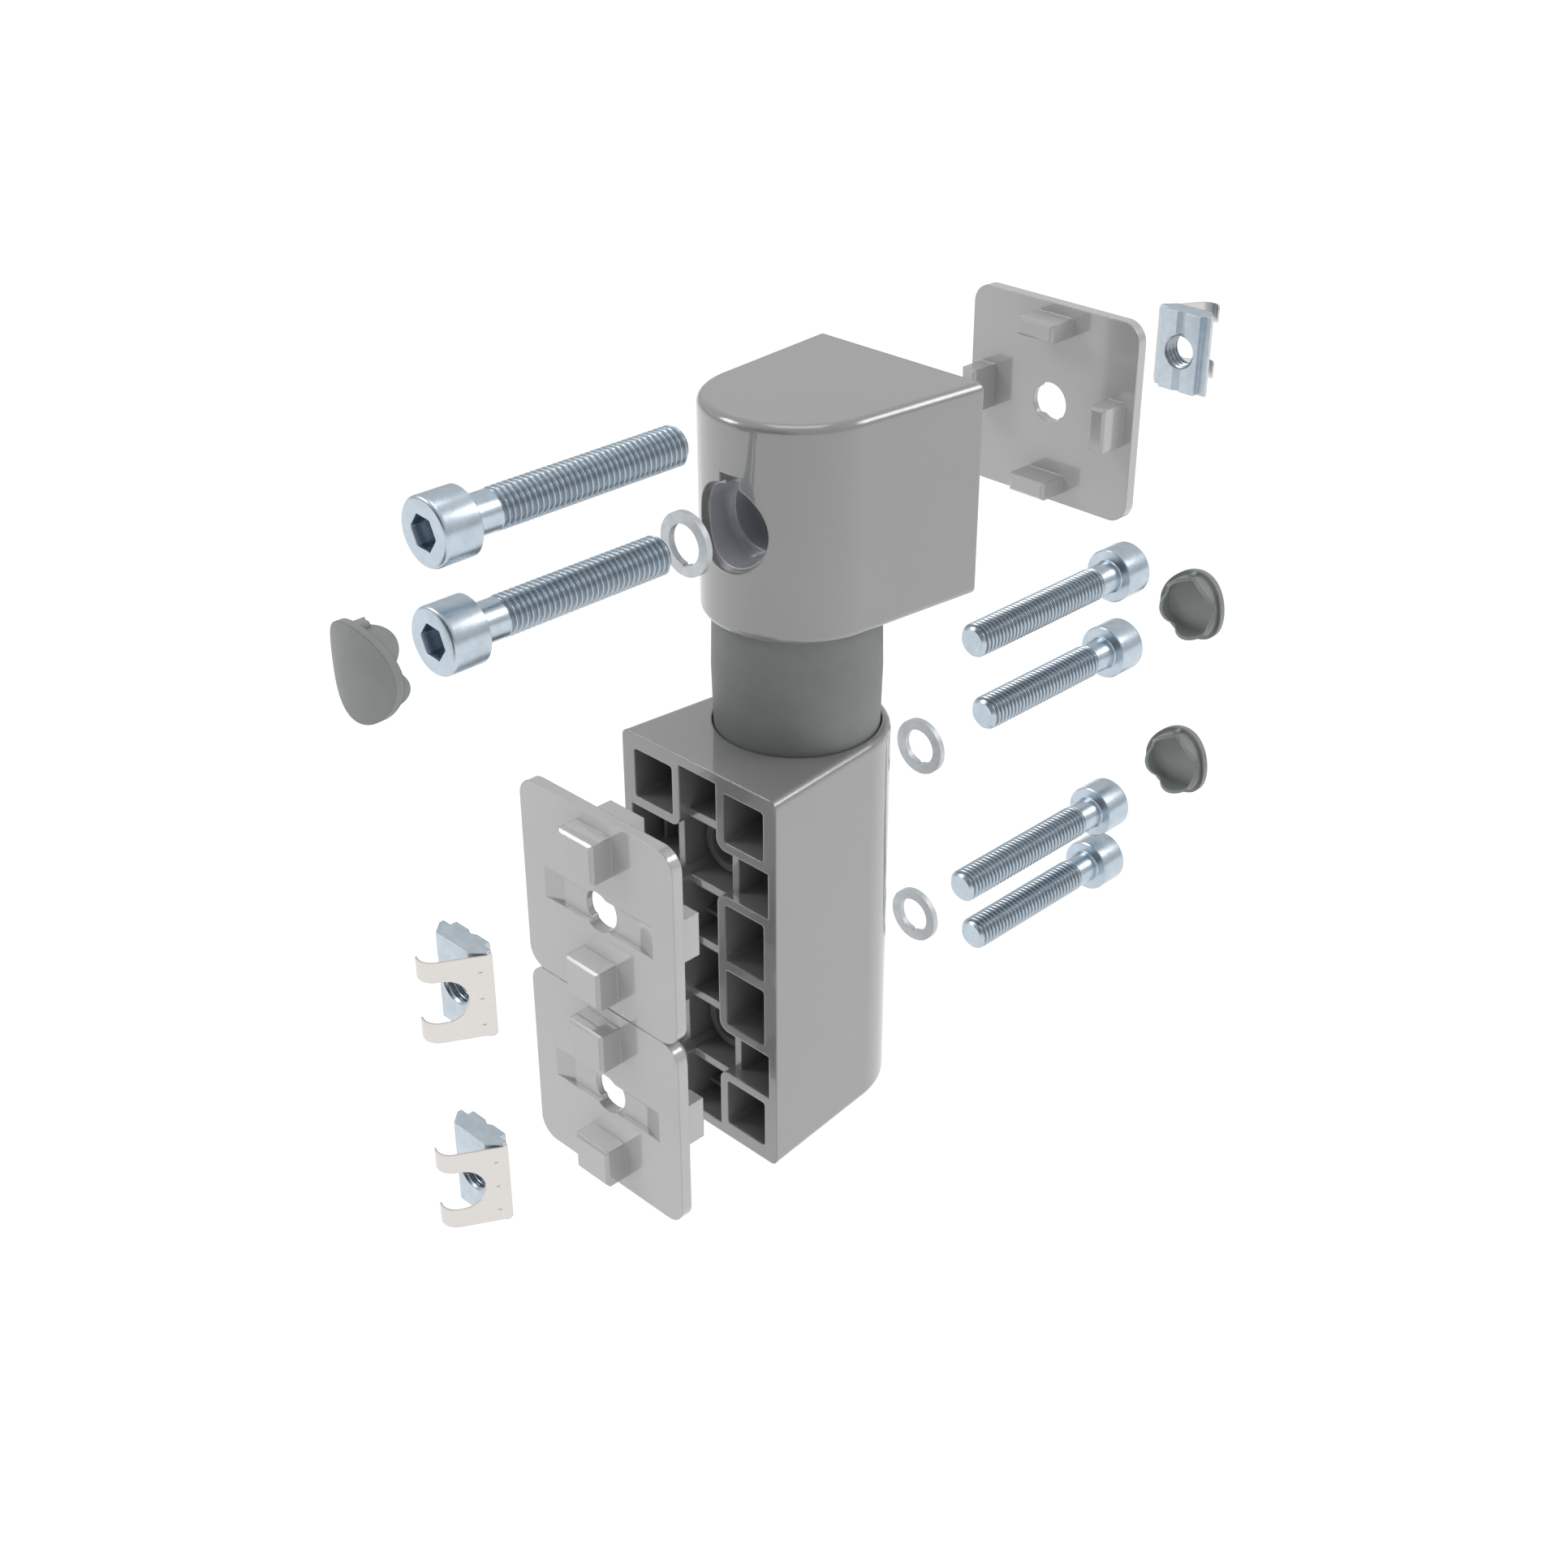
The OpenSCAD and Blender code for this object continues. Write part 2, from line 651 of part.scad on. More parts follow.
// Plate between a housing and the profile, in its fitted place
module plate() {
    plate_h = grid - plate_gap;
    key_mid = half - slot_key_edge - slot_key_len / 2;
    color(satin_grey) difference() {
        union() {
            translate([0, -face_offset, 0]) rotate([90, 0, 0]) linear_extrude(plate_t)
                rounded_rect([-half, -plate_h / 2], [half, plate_h / 2], plate_r);
            for (side = [-1, 1]) translate([0, plate_outer_y, side * key_mid])
                rotate([90, 0, 0]) bevelled_lug(key_slot_w, slot_key_len, slot_key_h);
            for (turn = [0:90:270]) rotate([0, turn, 0]) translate([0, -face_offset, lug_mid])
                rotate([-90, 0, 0]) bevelled_lug(inner_lug_len, inner_lug_t, inner_lug_h);
        }
        difference() {
            line_cylinder(hole_r, plate_outer_y - over, over - face_offset);
            for (turn = [-45, 135]) rotate([0, turn, 0])
                translate([hole_r + nub_r - nub_in, 0, 0])
                    line_cylinder(nub_r, plate_outer_y - 2 * over, 2 * over - face_offset);
        }
        translate([0, plate_outer_y, -trough_w / 2]) linear_extrude(trough_w) polygon([
            [-trough_len / 2, 0],
            [trough_ramp - trough_len / 2, trough_depth],
            [trough_len / 2 - trough_ramp, trough_depth],
            [trough_len / 2, 0],
            [trough_len / 2, -over],
            [-trough_len / 2, -over]
        ]);
    }
}

// Slot nut in its fitted place, with its neck towards the plate
module slot_nut() {
    waist_y = nut_face_y - neck_t;
    flank_y = waist_y - shoulder_t;
    back_y = nut_face_y - nut_t;
    color(zinc_blue) difference() {
        translate([0, 0, -nut_len / 2]) linear_extrude(nut_len) polygon([
            [-neck_w / 2, nut_face_y],
            [-groove_w / 2, nut_face_y],
            [0, nut_face_y - groove_depth],
            [groove_w / 2, nut_face_y],
            [neck_w / 2, nut_face_y],
            [neck_w / 2, waist_y],
            [shoulder_w / 2, waist_y],
            [shoulder_w / 2, flank_y],
            [back_w / 2, back_y],
            [-back_w / 2, back_y],
            [-shoulder_w / 2, flank_y],
            [-shoulder_w / 2, waist_y],
            [-neck_w / 2, waist_y]
        ]);
        line_cylinder(thread_r + nut_gap, back_y - over, nut_face_y + over);
    }
}

// Rolled end of the leaf, in plan, with its roll centre at the origin
module leaf_roll() {
    big = 2 * (roll_r + leaf_t);
    intersection() {
        difference() {
            circle(r = roll_r + leaf_t);
            circle(r = roll_r);
        }
        polygon([
            [0, 0],
            [big, 0],
            [big, -big],
            [big * cos(roll_angle), -big * sin(roll_angle)]
        ]);
    }
}

// Spring leaf on the shoulder of the slot nut: tab, flank and rolled end, with a notch
module nut_spring() {
    foot_y = nut_face_y - neck_t - shoulder_t;
    notch_mid = -notch_in - notch_w / 2;
    reach = 3 * roll_r;
    color(spring_white) translate([shoulder_w / 2, foot_y, 0]) {
        translate([0, 0, -leaf_h / 2]) linear_extrude(leaf_h) {
            square([leaf_t, shoulder_t]);
            polygon([[0, 0], [leaf_t, 0], leaf_t * [cos(flank_angle), -sin(flank_angle)]]);
        }
        rotate([0, 0, -flank_angle]) difference() {
            translate([0, 0, -leaf_h / 2]) linear_extrude(leaf_h) {
                translate([0, -flank_len]) square([leaf_t, flank_len]);
                translate([-roll_r, -flank_len]) leaf_roll();
            }
            translate([0, notch_mid, 0]) rotate([0, 90, 0])
                cylinder(d = notch_w, h = 4 * leaf_t, center = true);
            translate([-reach, notch_mid - reach, -notch_w / 2])
                cube([reach + 2 * leaf_t, reach, notch_w]);
        }
    }
}

// Washer under the screw head, in its fitted place, with a grip notch in its bore
module washer() {
    bore_r = thread_r + washer_gap;
    color(zinc_blue) difference() {
        line_cylinder(head_r, seat_y, head_seat_y);
        line_cylinder(bore_r, seat_y - over, head_seat_y + over);
        translate([-nub_r / 2, seat_y - over, -bore_r - nub_in])
            cube([nub_r, washer_t + 2 * over, bore_r]);
    }
}

// Cap screw in its fitted place, with its head towards the nose
module cap_screw(len) {
    top_y = head_seat_y + head_h;
    tip_y = head_seat_y - len;
    color(zinc_blue) difference() {
        union() {
            line_cylinder(thread_r, tip_y + tip_bevel, head_seat_y + over);
            translate([0, tip_y, 0]) rotate([-90, 0, 0])
                cylinder(r1 = thread_r - tip_bevel, r2 = thread_r, h = tip_bevel);
            translate([0, head_seat_y, 0]) rotate([-90, 0, 0]) rotate_extrude() {
                square([head_r, head_h - rim_r]);
                square([head_r - rim_r, head_h]);
                translate([head_r - rim_r, head_h - rim_r]) circle(r = rim_r);
            }
        }
        translate([0, top_y - socket_depth, 0]) rotate([-90, 0, 0])
            cylinder(d = socket_af / cos(30), h = socket_depth + over, $fn = 6);
    }
}

// Cap in its fitted place: a disc of the nose surface, a skirt with round lugs, and a pin
module cap() {
    reach = 2 * cap_r;
    inner_r = nose_r - cap_t;
    pin_z = cap_r - pin_in;
    color(cap_grey) {
        difference() {
            intersection() {
                line_cylinder(cap_r, 0, nose_r + over);
                translate([0, 0, -reach]) cylinder(r = nose_r, h = 2 * reach);
            }
            translate([0, 0, -reach - over]) cylinder(r = inner_r, h = 2 * (reach + over));
        }
        intersection() {
            difference() {
                line_cylinder(skirt_r, skirt_end_y, nose_r);
                line_cylinder(skirt_r - skirt_t, skirt_end_y - over, nose_r + over);
                difference() {
                    line_cylinder(skirt_r + over, skirt_end_y - over, skirt_end_y + skirt_step);
                    for (turn = [18:72:306]) rotate([0, turn, 0])
                        translate([0, skirt_end_y + lug_r, 0]) rotate([0, 90, 0])
                            cylinder(r = lug_r, h = 2 * skirt_r);
                }
            }
            translate([0, 0, -reach]) cylinder(r = inner_r + cap_t / 2, h = 2 * reach);
        }
        intersection() {
            translate([key_x, 0, pin_z]) line_cylinder(pin_r, inner_r - pin_len, inner_r + cap_t / 2);
            translate([0, 0, -reach]) cylinder(r = nose_r, h = 2 * reach);
        }
    }
}

module lower_top_plate() lower_line(top_line_z, -lower_plate_travel) plate();
module lower_bottom_plate() lower_line(bottom_line_z, -lower_plate_travel) plate();
module upper_plate() upper_line(-upper_plate_travel) plate();

module lower_top_slot_nut() lower_line(top_line_z, -lower_nut_out) slot_nut();
module lower_bottom_slot_nut() lower_line(bottom_line_z, -lower_nut_out) slot_nut();
module upper_slot_nut() upper_line(-upper_nut_out) slot_nut();

module lower_top_nut_spring() lower_line(top_line_z, -lower_nut_out) nut_spring();
module lower_bottom_nut_spring() lower_line(bottom_line_z, -lower_nut_out) nut_spring();
module upper_nut_spring() upper_line(-upper_nut_out) nut_spring();

module lower_top_washer() lower_line(top_line_z, lower_washer_travel) washer();
module lower_bottom_washer() lower_line(bottom_line_z, lower_washer_travel) washer();
module upper_washer() upper_line(upper_washer_travel) washer();

module lower_top_screw() lower_line(top_line_z, lower_screw_out) cap_screw(short_len);
module lower_bottom_screw() lower_line(bottom_line_z, lower_screw_out) cap_screw(long_len);
module upper_screw() upper_line(upper_screw_out) cap_screw(short_len);

module lower_top_spare_screw() lower_line(top_line_z + spare_rise, lower_screw_out) cap_screw(long_len);
module lower_bottom_spare_screw()
    lower_line(bottom_line_z - spare_drop, lower_screw_out) cap_screw(short_len);
module upper_spare_screw() translate([0, 0, spare_rise]) upper_line(upper_screw_out) cap_screw(long_len);

module lower_top_cap() lower_line(top_line_z, lower_cap_out) cap();
module lower_bottom_cap() lower_line(bottom_line_z, lower_cap_out) cap();
module upper_cap() upper_line(upper_cap_out) cap();

lower_housing();
upper_housing();
friction_sleeve();
spindle();
flange_screws();
spindle_bush();
lower_friction_disc();
upper_friction_disc();
lower_pressure_washer();
upper_pressure_washer();
disc_springs();
adjusting_nut();
lock_nut();
lower_top_plate();
lower_bottom_plate();
upper_plate();
lower_top_slot_nut();
lower_bottom_slot_nut();
upper_slot_nut();
lower_top_nut_spring();
lower_bottom_nut_spring();
upper_nut_spring();
lower_top_washer();
lower_bottom_washer();
upper_washer();
lower_top_screw();
lower_bottom_screw();
upper_screw();
lower_top_spare_screw();
lower_bottom_spare_screw();
upper_spare_screw();
lower_top_cap();
lower_bottom_cap();
upper_cap();
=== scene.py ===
"""Looks of the friction joint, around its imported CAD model.

Sizes are in millimetres where a name ends in _mm or _MM, and in metres elsewhere.
Angles in constants are in degrees.
"""
import json
import math

import bmesh
import bpy
from mathutils import Matrix, Vector

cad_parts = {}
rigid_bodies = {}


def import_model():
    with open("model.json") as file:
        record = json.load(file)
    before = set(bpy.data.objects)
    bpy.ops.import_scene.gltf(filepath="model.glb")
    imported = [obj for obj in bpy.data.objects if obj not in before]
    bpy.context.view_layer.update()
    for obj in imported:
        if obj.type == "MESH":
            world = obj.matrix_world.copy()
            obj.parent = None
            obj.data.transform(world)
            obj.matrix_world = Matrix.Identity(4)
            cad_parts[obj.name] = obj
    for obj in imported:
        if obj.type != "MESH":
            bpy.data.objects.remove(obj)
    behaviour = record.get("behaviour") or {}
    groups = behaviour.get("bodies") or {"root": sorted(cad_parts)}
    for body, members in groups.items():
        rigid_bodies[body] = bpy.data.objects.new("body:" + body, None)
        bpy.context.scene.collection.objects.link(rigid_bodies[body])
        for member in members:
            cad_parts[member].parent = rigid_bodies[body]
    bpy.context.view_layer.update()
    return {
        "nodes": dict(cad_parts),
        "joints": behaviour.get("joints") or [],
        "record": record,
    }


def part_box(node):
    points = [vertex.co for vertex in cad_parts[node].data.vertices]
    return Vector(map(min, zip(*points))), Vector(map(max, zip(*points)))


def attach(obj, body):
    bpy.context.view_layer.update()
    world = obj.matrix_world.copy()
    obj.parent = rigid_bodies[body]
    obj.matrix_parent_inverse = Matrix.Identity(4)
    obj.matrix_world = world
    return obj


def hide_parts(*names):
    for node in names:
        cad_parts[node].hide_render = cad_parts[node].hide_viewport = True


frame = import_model()

MM = 0.001
TAU = 2 * math.pi
LINES = ("lower_top", "lower_bottom", "upper")

# Camera, solved from the photograph: azimuth 0 looks along +Y
CAMERA_AZIMUTH = 44.898
CAMERA_ELEVATION = 29.827
CAMERA_ROLL = -0.051
CAMERA_PLACE_MM = (281.082, -285.913, 303.671)
CAMERA_LENS_MM = 50.065
CAMERA_SENSOR_MM = 36

# Housings: side of Y on which the flat face lies, and its distance from the hinge axis
FLAT_SIDE = {"lower_housing": -1.0, "upper_housing": 1.0}
FACE_MM = 28.65
# Radii that the shading gives to the outer edges and to the ribs between the pockets
OUTER_EDGE_MM = 0.6
POCKET_EDGE_MM = 0.5
# Pockets: half width over all, and the wall above and below them
POCKET_HALF_MM = 20.3
POCKET_WALL_MM = 1.6
# Depths behind the flat face over which the pockets darken with painted shade and lose their coat, over
# which the ribs' rims take the same painted shade, and at which the pockets end
PAINTED_SHADE_FADE_MM = (0.5, 3.5)
RIM_FADE_MM = (7, 8)
BACK_WALL_MM = (12.4, 12.8)
# How straight a face looks along Y where it counts as a rim
RIM_FACING = (0.6, 0.8)
# Radius of the screw seats, painted lighter as a painted light, and widths over which one finish gives
# way to the next
SEAT_R_MM = 8.6
SOFT_MM = 0.2
NOSE_FADE_MM = 2
# Greys of the coat, of the painted shade deep in the pockets, and of the painted light in the screw seats
HOUSING_GREY = (0.2, 0.2, 0.2)
POCKET_SHADE_GREY = (0.18, 0.18, 0.181)
SEAT_PAINTED_LIGHT_GREY = (0.41, 0.425, 0.465)
# Painted shade on zinc plating: its tone in a recess, against the open plating, and how much of it a
# socket has
PAINTED_SHADE_TONE = 0.43
SOCKET_PAINTED_SHADE = 0.2

# Thread of the screws and slot nuts; the rise gives the shares of a pitch at which the root ends, the
# crest starts, the crest ends and the root starts
PITCH_MM = 1.25
THREAD_R_MM = 4.0
ROOT_R_MM = 3.34
NUT_CREST_R_MM = 3.5
BORE_R_MM = 4.03
THREAD_COUNT = 40
THREAD_STEPS = 10
THREAD_END_SLOPE = 0.9
THREAD_RISE = (0.18, 0.44, 0.58, 0.84)
THREAD_WALL_MM = 0.015

# Socket head screw; the turn of its socket is seen on the upper line only
HEAD_R_MM = 6.5
HEAD_H_MM = 8.0
HEAD_RIM_MM = 0.75
HEAD_BEVEL_MM = 0.25
SOCKET_MM = 6.0
SOCKET_DEPTH_MM = 4.0
SOCKET_CONE_MM = 0.9
SOCKET_EDGE_MM = 0.15
SOCKET_FLARE = 1.02
HEAD_FACE_R_MM = 4.6
SHANK_R_MM = 3.85
SHANK_MM = 6.2
SHANK_END_MM = 0.4
# Fillet under the head: distance below it, and how much wider than the shank it is there
FILLET_MM = ((0.0, 0.25), (0.15, 0.08), (0.5, 0.0))
TIP_R_MM = 2.9
TIP_SLOPE = 1.1
SEAT_GAP_MM = 0.03
SCREW_COUNT = 96
RIM_STEP = 15
AXIS_R_MM = 0.02
HEX_TURN = {"upper_screw": -23.7, "upper_spare_screw": -24.8}

# Spring leaf of a slot nut; its foot is at the nut's shoulder, measured from the middle of the nut's face
LEAF_T_MM = 0.4
LEAF_FOOT_MM = Vector((7.1, -2.35, 0))
LEAF_TAB_MM = 0.95
LEAF_BEND = 29.3
LEAF_FLANK_MM = 9.6
LEAF_ROLL_R_MM = 2.9
LEAF_ROLL = 104
LEAF_HALF_MM = 9.0
LEAF_NOTCH_MM = 4.0
LEAF_NOTCH_R_MM = 4.65
LEAF_TIP_R_MM = 1.0
LEAF_CORNER_R_MM = 0.3
# Rows of the leaf's mesh round its bend and ahead of its notch, and columns between the punch marks
LEAF_BEND_ROWS_MM = [-0.3, 0.0, 0.03, 0.06, 0.095, 0.5, 0.9]
LEAF_AHEAD_MM = (1.2, 0.6)
LEAF_INNER_COLUMNS_MM = [1.2, 2.2, 3.2, 4.2]
LEAF_OUTER_COLUMNS_MM = [7.2, 7.8, 8.4, LEAF_HALF_MM]
# Half-moon punch marks in the leaf
PUNCH_IN_MM = 1.7
PUNCH_Z_MM = 5.9
PUNCH_R_MM = 0.55
PUNCH_EDGE_MM = 0.25
PUNCH_SLOPE = 0.2
PUNCH_STEP_MM = 0.12

SMOOTH_ANGLE = 40
FLOOR_M = 14


def principled(name, color, rough, metal=0.0, coat=0.0, coat_rough=0.05):
    """A new material and its main shader; the numbers that are the same all over sit on its sockets."""
    mat = bpy.data.materials.new(name)
    mat.use_nodes = True
    shader = mat.node_tree.nodes["Principled BSDF"]
    shader.inputs["Base Color"].default_value = (*color, 1)
    shader.inputs["Roughness"].default_value = rough
    shader.inputs["Metallic"].default_value = metal
    shader.inputs["Coat Weight"].default_value = coat
    shader.inputs["Coat Roughness"].default_value = coat_rough
    shader.inputs["Coat IOR"].default_value = 2.0
    return mat, shader


def node(mat, kind, **values):
    """A new shader node with its input sockets set by name."""
    made = mat.node_tree.nodes.new(kind)
    for key, value in values.items():
        made.inputs[key.replace("_", " ")].default_value = value
    return made


def noise(mat, scale, detail=3.0, rough=0.5, stretch=(1, 1, 1)):
    """Noise in object space; scale is in waves per metre."""
    links = mat.node_tree.links
    coords = node(mat, "ShaderNodeTexCoord")
    mapping = node(mat, "ShaderNodeMapping")
    mapping.inputs["Scale"].default_value = stretch
    made = node(mat, "ShaderNodeTexNoise", Scale=scale, Detail=detail, Roughness=rough)
    links.new(coords.outputs["Object"], mapping.inputs["Vector"])
    links.new(mapping.outputs["Vector"], made.inputs["Vector"])
    return made.outputs["Fac"]


def ramp(mat, source, low, high, start=0.3, end=0.7):
    """Maps a value onto two colours."""
    made = node(mat, "ShaderNodeValToRGB")
    made.color_ramp.elements[0].position = start
    made.color_ramp.elements[0].color = (*low, 1)
    made.color_ramp.elements[1].position = end
    made.color_ramp.elements[1].color = (*high, 1)
    mat.node_tree.links.new(source, made.inputs["Fac"])
    return made.outputs["Color"]


def spread(mat, source, low, high):
    """Maps a value from 0 to 1 onto a range."""
    made = node(mat, "ShaderNodeMapRange", To_Min=low, To_Max=high)
    mat.node_tree.links.new(source, made.inputs["Value"])
    return made.outputs["Result"]


def mixed(mat, factor, first, second):
    """Mixes an output's colour with a fixed one."""
    made = mat.node_tree.nodes.new("ShaderNodeMix")
    made.data_type = "RGBA"
    mat.node_tree.links.new(factor, made.inputs[0])
    mat.node_tree.links.new(first, made.inputs[6])
    made.inputs[7].default_value = (*second, 1)
    return made.outputs[2]


def bump(mat, shader, height, strength, distance_mm, edge_mm=0.0):
    """Bumps the shader's normal by a height, over edges that are rounded off in the shading.

    Returns the node that rounds the edges, if there is one.
    """
    made = node(mat, "ShaderNodeBump", Strength=strength, Distance=distance_mm * MM)
    links = mat.node_tree.links
    links.new(height, made.inputs["Height"])
    links.new(made.outputs["Normal"], shader.inputs["Normal"])
    if not edge_mm:
        return None
    edge = node(mat, "ShaderNodeBevel", Radius=edge_mm * MM)
    links.new(edge.outputs["Normal"], made.inputs["Normal"])
    links.new(edge.outputs["Normal"], shader.inputs["Coat Normal"])
    return edge


def math_node(mat, kind, first, second=0.0):
    """A math node; each input is a number or another node's output."""
    made = mat.node_tree.nodes.new("ShaderNodeMath")
    made.operation = kind
    for socket, value in zip(made.inputs, (first, second)):
        if isinstance(value, (int, float)):
            socket.default_value = value
        else:
            mat.node_tree.links.new(value, socket)
    return made.outputs[0]


def times(mat, first, second):
    """Product of two values."""
    return math_node(mat, "MULTIPLY", first, second)


def less(mat, first, second):
    """Difference of two values."""
    return math_node(mat, "SUBTRACT", first, second)


def squared(mat, value):
    return math_node(mat, "POWER", value, 2.0)


def step_up(mat, source, start, end):
    """Runs from 0 to 1, smoothly, as a value passes from start to end."""
    made = node(mat, "ShaderNodeMapRange", From_Min=start, From_Max=end)
    made.interpolation_type = "SMOOTHSTEP"
    mat.node_tree.links.new(source, made.inputs["Value"])
    return made.outputs["Result"]


def step_down(mat, source, start, end):
    """Runs from 1 to 0, smoothly, as a value passes from start to end."""
    return less(mat, 1.0, step_up(mat, source, start, end))


def within(mat, source, middle, reach):
    """Is 1 where a value lies within reach of the middle, and falls to 0 outside it."""
    away = math_node(mat, "ABSOLUTE", less(mat, source, middle))
    return step_down(mat, away, reach, reach + SOFT_MM * MM)


def tinted(color, factor):
    return tuple(c * factor for c in color)


def in_metres(pair_mm):
    return [value * MM for value in pair_mm]


def grey_coat(name, color, rough, coat_rough, edge_mm):
    """Smooth coat on a casting: a slow drift of tone and a very fine orange peel."""
    mat, shader = principled(name, color, rough, coat=1.0, coat_rough=coat_rough)
    drift = noise(mat, 45)
    links = mat.node_tree.links
    links.new(ramp(mat, drift, tinted(color, 0.97), tinted(color, 1.03)), shader.inputs["Base Color"])
    links.new(spread(mat, drift, rough - 0.03, rough + 0.03), shader.inputs["Roughness"])
    edge = bump(mat, shader, noise(mat, 2600, 2), 0.02, 0.02, edge_mm)
    return mat, shader, edge


def housing_coat(name, side, low_z_mm, high_z_mm, line_z_mm):
    """The coat of a housing, with painted shade deep in its pockets: a darker grey where the coat fades
    out.

    side is the sign of Y on which the flat face lies. The screw seats in the nose get a lighter grey, a
    painted light.
    """
    mat, shader, edge = grey_coat(name, HOUSING_GREY, 0.42, 0.06, OUTER_EDGE_MM)
    links = mat.node_tree.links
    place = node(mat, "ShaderNodeSeparateXYZ")
    facing = node(mat, "ShaderNodeSeparateXYZ")
    coords = node(mat, "ShaderNodeTexCoord")
    links.new(coords.outputs["Object"], place.inputs[0])
    links.new(coords.outputs["Normal"], facing.inputs[0])
    depth = less(mat, FACE_MM * MM, times(mat, place.outputs["Y"], side))

    straight = step_up(mat, math_node(mat, "ABSOLUTE", facing.outputs["Y"]), *RIM_FACING)
    rim = times(mat, straight, step_down(mat, depth, *in_metres(RIM_FADE_MM)))
    deep = times(mat, step_up(mat, depth, *in_metres(PAINTED_SHADE_FADE_MM)), less(mat, 1.0, rim))
    middle = (low_z_mm + high_z_mm) / 2 * MM
    reach_z = ((high_z_mm - low_z_mm) / 2 - POCKET_WALL_MM) * MM
    inside_x = within(mat, place.outputs["X"], 0.0, POCKET_HALF_MM * MM)
    inside_z = within(mat, place.outputs["Z"], middle, reach_z)
    in_pockets = times(mat, inside_x, inside_z)
    links.new(spread(mat, in_pockets, OUTER_EDGE_MM * MM, POCKET_EDGE_MM * MM), edge.inputs["Radius"])
    before_back = step_down(mat, depth, *in_metres(BACK_WALL_MM))
    # Painted shade: deeper in the pockets the grey darkens and the coat fades out
    painted_pocket_shade = times(mat, in_pockets, times(mat, deep, before_back))
    tone = mixed(mat, painted_pocket_shade, shader.inputs["Base Color"].links[0].from_socket, POCKET_SHADE_GREY)
    links.new(less(mat, 1.0, painted_pocket_shade), shader.inputs["Coat Weight"])

    # Painted light: the screw seats in the nose are given a lighter grey
    nose_side = step_up(mat, depth, FACE_MM * MM, (FACE_MM + NOSE_FADE_MM) * MM)
    across = squared(mat, place.outputs["X"])
    for z_mm in line_z_mm:
        up = squared(mat, less(mat, place.outputs["Z"], z_mm * MM))
        away = math_node(mat, "SQRT", math_node(mat, "ADD", across, up))
        near = step_down(mat, away, SEAT_R_MM * MM, (SEAT_R_MM + SOFT_MM) * MM)
        tone = mixed(mat, times(mat, near, nose_side), tone, SEAT_PAINTED_LIGHT_GREY)
    links.new(tone, shader.inputs["Base Color"])
    return mat


def zinc_plating(name, color, rough, edge_mm=0.0):
    """Bluish zinc plating with fine grain and cloudy spangle; where the mesh marks painted shade, in
    recesses, it is darker.
    """
    mat, shader = principled(name, color, rough, metal=1.0)
    links = mat.node_tree.links
    cloud = ramp(mat, noise(mat, 420, 4, 0.6), tinted(color, 0.9), tinted(color, 1.05))
    # Painted shade: recesses that the mesh marks are painted darker
    painted_shade = mat.node_tree.nodes.new("ShaderNodeAttribute")
    painted_shade.attribute_name = "painted_shade"
    links.new(mixed(mat, painted_shade.outputs["Fac"], cloud, tinted(color, PAINTED_SHADE_TONE)),
              shader.inputs["Base Color"])
    links.new(spread(mat, noise(mat, 900, 3), rough - 0.05, rough + 0.06), shader.inputs["Roughness"])
    bump(mat, shader, noise(mat, 3500, 3), 0.03, 0.03, edge_mm)
    return mat


def plastic(name, color, rough):
    """Matt plastic with a fine spark-eroded grain."""
    mat, shader = principled(name, color, rough)
    links = mat.node_tree.links
    links.new(ramp(mat, noise(mat, 160), tinted(color, 0.95), tinted(color, 1.05)),
              shader.inputs["Base Color"])
    bump(mat, shader, noise(mat, 5200, 2), 0.12, 0.03, 0.35)
    return mat


def leaf_steel(name, color, rough):
    """Rolled stainless strip, with faint lines along the roll."""
    mat, shader = principled(name, color, rough, metal=1.0)
    links = mat.node_tree.links
    lines = noise(mat, 500, 3, 0.6, stretch=(1, 1, 14))
    links.new(spread(mat, lines, rough - 0.06, rough + 0.06), shader.inputs["Roughness"])
    links.new(ramp(mat, lines, tinted(color, 0.95), tinted(color, 1.02)), shader.inputs["Base Color"])
    bump(mat, shader, lines, 0.05, 0.01)
    return mat


MATERIALS = {
    "plate_zinc": grey_coat("plate_coat", (0.38, 0.38, 0.38), 0.4, 0.1, 0.4)[0],
    "sleeve_plastic": plastic("sleeve_plastic", (0.178, 0.193, 0.185), 0.55),
    "cap_plastic": plastic("cap_plastic", (0.222, 0.24, 0.231), 0.5),
    "zinc_steel": zinc_plating("zinc_plating", (0.52, 0.6, 0.67), 0.28, 0.12),
    "spring_steel": leaf_steel("leaf_steel", (0.7, 0.675, 0.65), 0.34),
    "machined_steel": zinc_plating("turned_steel", (0.5, 0.5, 0.52), 0.35),
    "bronze": zinc_plating("sintered_bronze", (0.55, 0.36, 0.16), 0.45),
    "lining": plastic("friction_lining", (0.05, 0.045, 0.04), 0.8),
}
ENDING_MATERIALS = {
    "_washer": zinc_plating("washer_plating", (0.6, 0.63, 0.65), 0.55, 0.15),
    "_slot_nut": zinc_plating("nut_plating", (0.56, 0.63, 0.69), 0.36, 0.3),
}
SLOT_OF = {row["node"]: row["material_slot"] for row in frame["record"]["subparts"]}
BODY_OF = {name: body for body, names in frame["record"]["behaviour"]["bodies"].items() for name in names}


def middle_z_mm(name):
    """Height of the middle of a node."""
    low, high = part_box(name)
    return (low[2] + high[2]) / 2 / MM


def line_sign(line):
    """Sign of Y towards which a screw line has its screw heads."""
    return -1 if line == "upper" else 1


